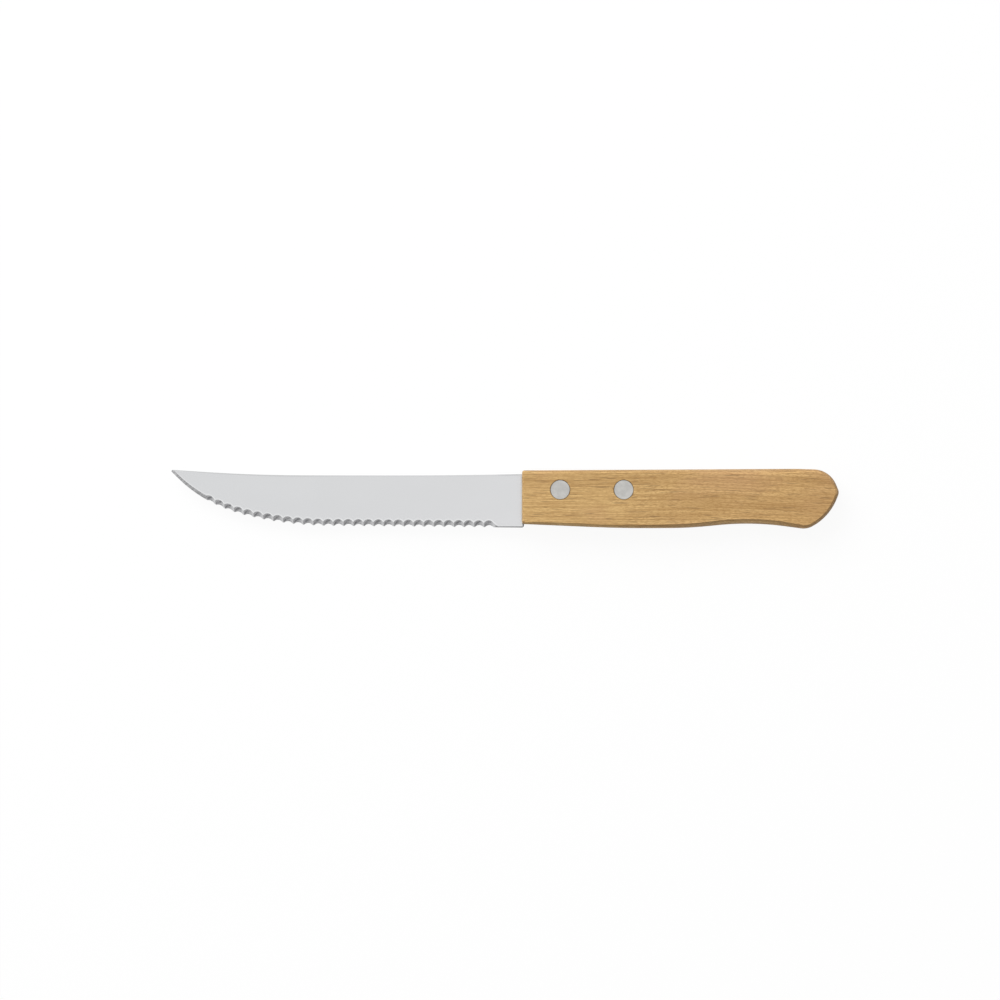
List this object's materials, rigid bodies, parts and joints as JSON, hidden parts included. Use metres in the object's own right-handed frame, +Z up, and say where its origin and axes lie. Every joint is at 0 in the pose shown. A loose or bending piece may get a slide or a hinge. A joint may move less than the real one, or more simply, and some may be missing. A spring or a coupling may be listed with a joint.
{
  "type": "steak knife",
  "caption": "Table steak knife with a scalloped steel blade that sweeps up to its point, and a waisted wooden handle fixed by cutler's rivets.",
  "frame": {"origin": "on the surface that the knife lies on, under the middle of its bounding box", "axes": "+X from the blade's point to the handle's butt, +Y towards the blade's spine, +Z up, square to the blade's side, towards its ground face"},
  "size_m": [0.2172, 0.0194, 0.0115],
  "materials": {
    "blade_steel": "fine satin polish on the flats, coarser grind marks in the scallops",
    "handle_wood": "smooth unvarnished hardwood with fine straight grain along the handle",
    "rivet_metal": "matte, sanded flush with the wood"
  },
  "bodies": {
    "root": {"blade": "blade_steel", "handle": "handle_wood", "front_rivet_female": "rivet_metal", "front_rivet_male": "rivet_metal", "rear_rivet_female": "rivet_metal", "rear_rivet_male": "rivet_metal"}
  },
  "joints": []
}
